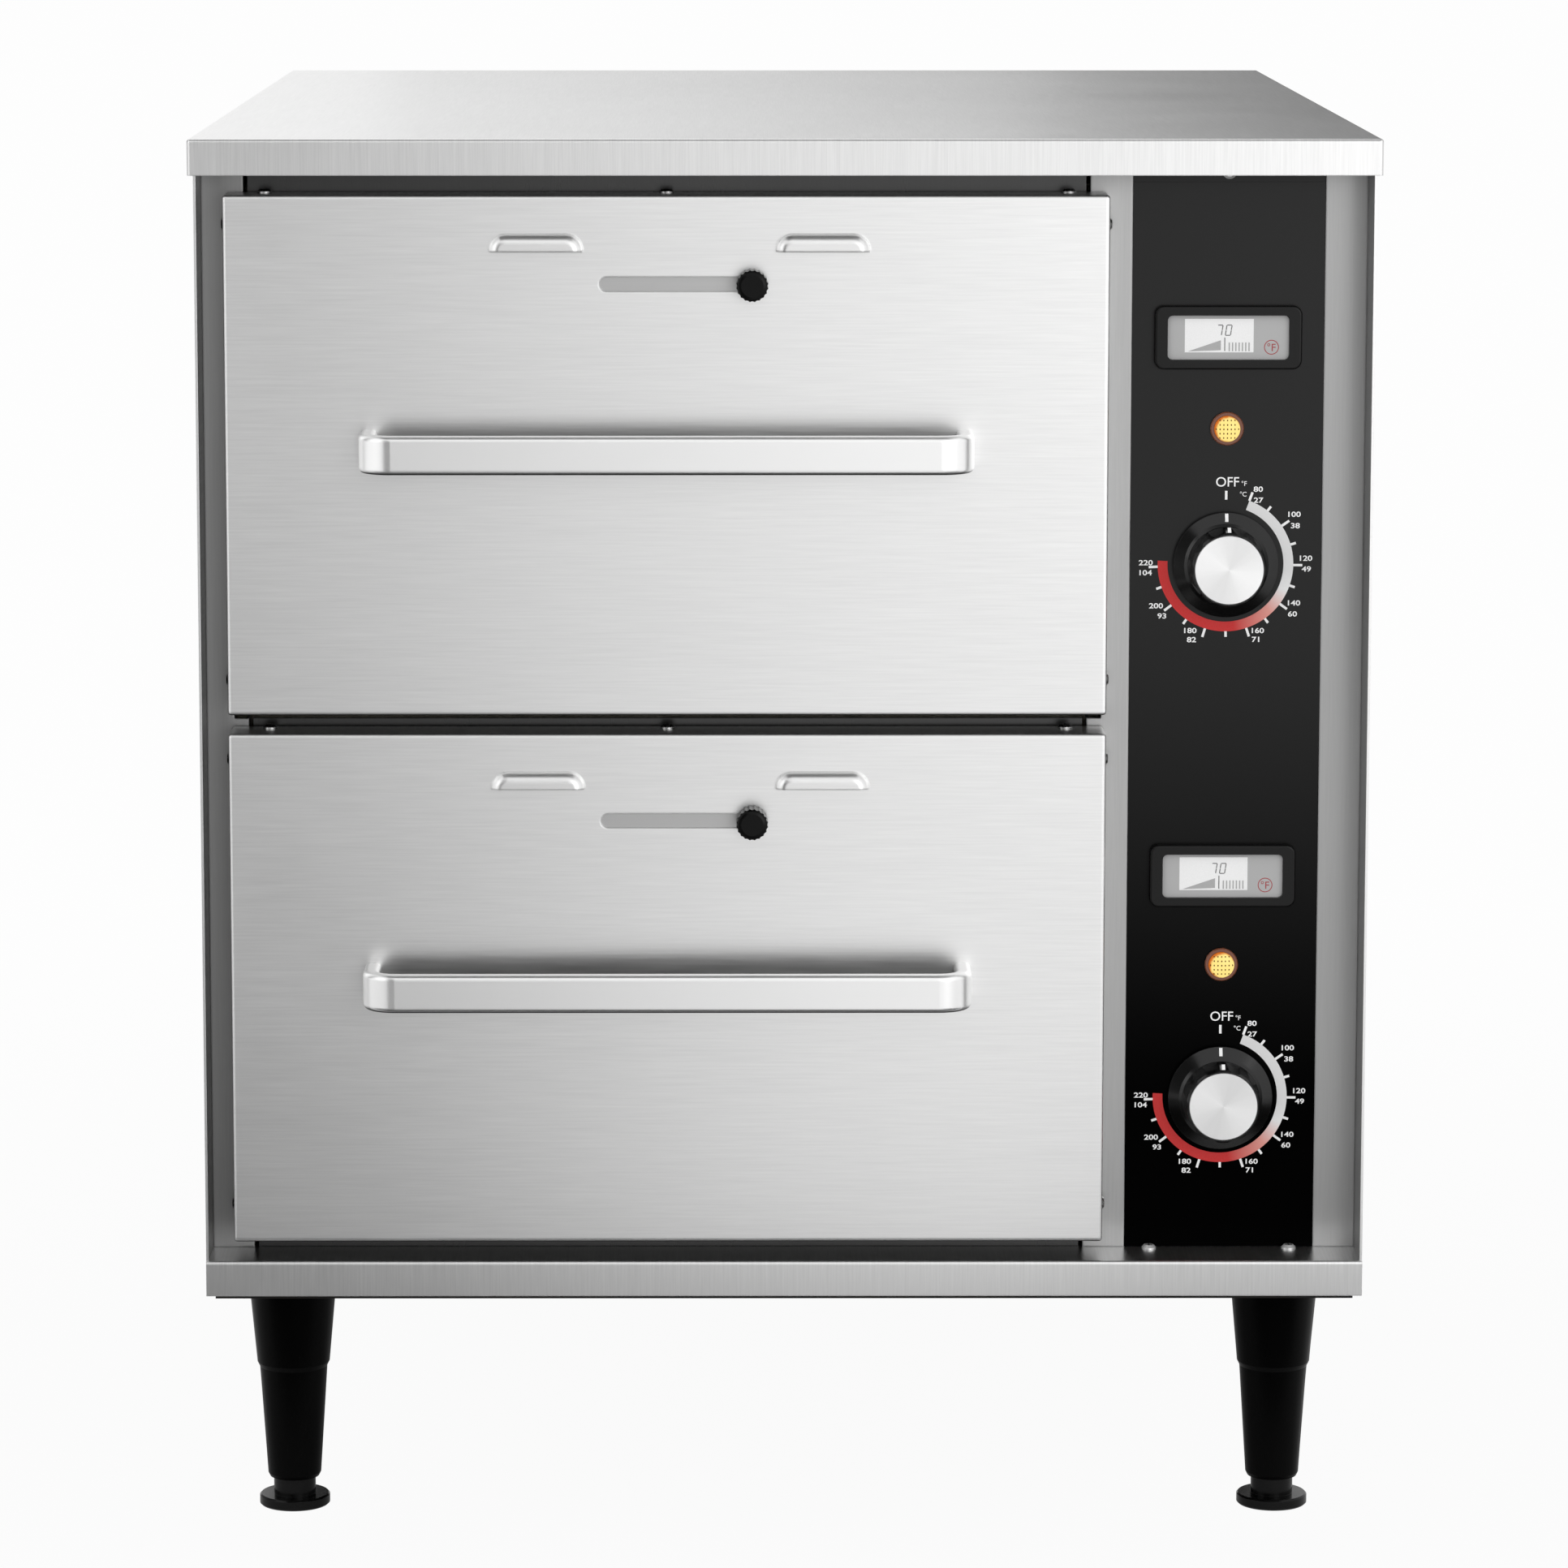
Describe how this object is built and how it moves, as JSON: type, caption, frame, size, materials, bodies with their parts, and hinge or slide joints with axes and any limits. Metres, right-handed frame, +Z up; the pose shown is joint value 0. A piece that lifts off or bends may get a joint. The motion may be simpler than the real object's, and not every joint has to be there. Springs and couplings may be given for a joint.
{
  "type": "two-drawer food warmer",
  "caption": "Free-standing stainless food warmer: stacked heated drawers with bar handles and sliding vents, a black side column of thermometers, lamps and dials, on tapered legs.",
  "frame": {"origin": "on the floor, under the middle of the overall box from the handles to the cable gland", "axes": "+X to the right seen from the front, +Y from the front to the back, +Z up"},
  "size_m": [0.573, 0.7638, 0.6831],
  "materials": {
    "stainless": "brushed",
    "liner_steel": "mill",
    "handle_steel": "satin",
    "pan_steel": "satin",
    "runner_steel": "mill",
    "screw_steel": "bright",
    "dark_steel": "matt",
    "element_sheath": "oxidised",
    "black_paint": "satin",
    "overlay_film": "fine texture",
    "bezel_plastic": "gloss",
    "display": "clear window over a display",
    "black_plastic": "moulded",
    "cap_aluminium": "spun",
    "lamp_rim": "gloss",
    "amber_lens": "clear, lit from behind",
    "thermostat_body": "moulded",
    "terminal_plastic": "moulded",
    "nylon": "moulded",
    "insulation": "fibre mat"
  },
  "bodies": {
    "cabinet": {"base_pan": "stainless", "bottom_plate": "dark_steel", "cabinet_fasteners": "screw_steel", "cabinet_runners": "runner_steel", "cavity_insulation": "insulation", "centre_stile": "stainless", "compartment_divider": "liner_steel", "control_overlay": "overlay_film", "control_panel": "black_paint", "cord_gland": "black_plastic", "heating_elements": "element_sheath", "left_side_panel": "stainless", "left_stile": "stainless", "legs": "black_plastic", "lower_cavity_liner": "liner_steel", "pilot_lamp_bodies": "lamp_rim", "pilot_lamp_lenses": "amber_lens", "rear_panel": "stainless", "right_side_panel": "stainless", "right_stile": "stainless", "terminal_block": "terminal_plastic", "thermometer_bezels": "bezel_plastic", "thermometer_displays": "display", "thermostats": "thermostat_body", "top_cover": "stainless", "upper_cavity_liner": "liner_steel"},
    "upper_drawer": {"upper_drawer_skin": "stainless", "upper_drawer_inner_skin": "liner_steel", "upper_drawer_insulation": "insulation", "upper_handle": "handle_steel", "upper_drawer_screws": "screw_steel", "upper_pan_carrier": "liner_steel", "upper_food_pan": "pan_steel", "upper_drawer_runners": "runner_steel"},
    "upper_vent": {"upper_vent_shutter": "liner_steel", "upper_vent_knob": "black_plastic"},
    "upper_dial": {"upper_dial_knob": "black_plastic", "upper_dial_cap": "cap_aluminium", "upper_thermostat_shaft": "screw_steel"},
    "upper_front_roller_pair": {"upper_front_rollers": "nylon"},
    "upper_rear_roller_pair": {"upper_rear_rollers": "nylon"},
    "lower_drawer": {"lower_drawer_skin": "stainless", "lower_drawer_inner_skin": "liner_steel", "lower_drawer_insulation": "insulation", "lower_handle": "handle_steel", "lower_drawer_screws": "screw_steel", "lower_pan_carrier": "liner_steel", "lower_food_pan": "pan_steel", "lower_drawer_runners": "runner_steel"},
    "lower_vent": {"lower_vent_shutter": "liner_steel", "lower_vent_knob": "black_plastic"},
    "lower_dial": {"lower_dial_knob": "black_plastic", "lower_dial_cap": "cap_aluminium", "lower_thermostat_shaft": "screw_steel"},
    "lower_front_roller_pair": {"lower_front_rollers": "nylon"},
    "lower_rear_roller_pair": {"lower_rear_rollers": "nylon"},
    "front_left_leveller": {"front_left_foot": "black_plastic"},
    "front_right_leveller": {"front_right_foot": "black_plastic"},
    "rear_left_leveller": {"rear_left_foot": "black_plastic"},
    "rear_right_leveller": {"rear_right_foot": "black_plastic"}
  },
  "joints": [
    {"name": "upper_drawer_slide", "type": "slide", "parent": "cabinet", "child": "upper_drawer", "axis": [0, -1, 0], "range_m": [0, 0.49]},
    {"name": "upper_vent_slide", "type": "slide", "parent": "upper_drawer", "child": "upper_vent", "axis": [-1, 0, 0], "range_m": [0, 0.07]},
    {"name": "upper_dial_turn", "type": "hinge", "parent": "cabinet", "child": "upper_dial", "pos_m": [0.21525, -0.3191, 0.4743], "axis": [0, 1, 0], "range_deg": [0, 268]},
    {"name": "upper_front_roller_spin", "type": "hinge", "parent": "cabinet", "child": "upper_front_roller_pair", "pos_m": [-0.057, -0.2999, 0.5578], "axis": [1, 0, 0], "range_deg": [0, 2400]},
    {"name": "upper_rear_roller_spin", "type": "hinge", "parent": "upper_drawer", "child": "upper_rear_roller_pair", "pos_m": [-0.057, 0.2181, 0.5578], "axis": [1, 0, 0], "range_deg": [0, 2400]},
    {"name": "lower_drawer_slide", "type": "slide", "parent": "cabinet", "child": "lower_drawer", "axis": [0, -1, 0], "range_m": [0, 0.49]},
    {"name": "lower_vent_slide", "type": "slide", "parent": "lower_drawer", "child": "lower_vent", "axis": [-1, 0, 0], "range_m": [0, 0.07]},
    {"name": "lower_dial_turn", "type": "hinge", "parent": "cabinet", "child": "lower_dial", "pos_m": [0.21525, -0.3191, 0.2093], "axis": [0, 1, 0], "range_deg": [0, 268]},
    {"name": "lower_front_roller_spin", "type": "hinge", "parent": "cabinet", "child": "lower_front_roller_pair", "pos_m": [-0.057, -0.2999, 0.2966], "axis": [1, 0, 0], "range_deg": [0, 2400]},
    {"name": "lower_rear_roller_spin", "type": "hinge", "parent": "lower_drawer", "child": "lower_rear_roller_pair", "pos_m": [-0.057, 0.2181, 0.2966], "axis": [1, 0, 0], "range_deg": [0, 2400]},
    {"name": "front_left_leveller_screw", "type": "slide", "parent": "cabinet", "child": "front_left_leveller", "axis": [0, 0, -1], "range_m": [-0.008, 0.025]},
    {"name": "front_right_leveller_screw", "type": "slide", "parent": "cabinet", "child": "front_right_leveller", "axis": [0, 0, -1], "range_m": [-0.008, 0.025]},
    {"name": "rear_left_leveller_screw", "type": "slide", "parent": "cabinet", "child": "rear_left_leveller", "axis": [0, 0, -1], "range_m": [-0.008, 0.025]},
    {"name": "rear_right_leveller_screw", "type": "slide", "parent": "cabinet", "child": "rear_right_leveller", "axis": [0, 0, -1], "range_m": [-0.008, 0.025]}
  ],
  "couplings": [
    {"joint": "upper_front_roller_spin", "follows": "upper_drawer_slide", "rad_per_m": 83.333},
    {"joint": "upper_rear_roller_spin", "follows": "upper_drawer_slide", "rad_per_m": 83.333},
    {"joint": "lower_front_roller_spin", "follows": "lower_drawer_slide", "rad_per_m": 83.333},
    {"joint": "lower_rear_roller_spin", "follows": "lower_drawer_slide", "rad_per_m": 83.333}
  ]
}
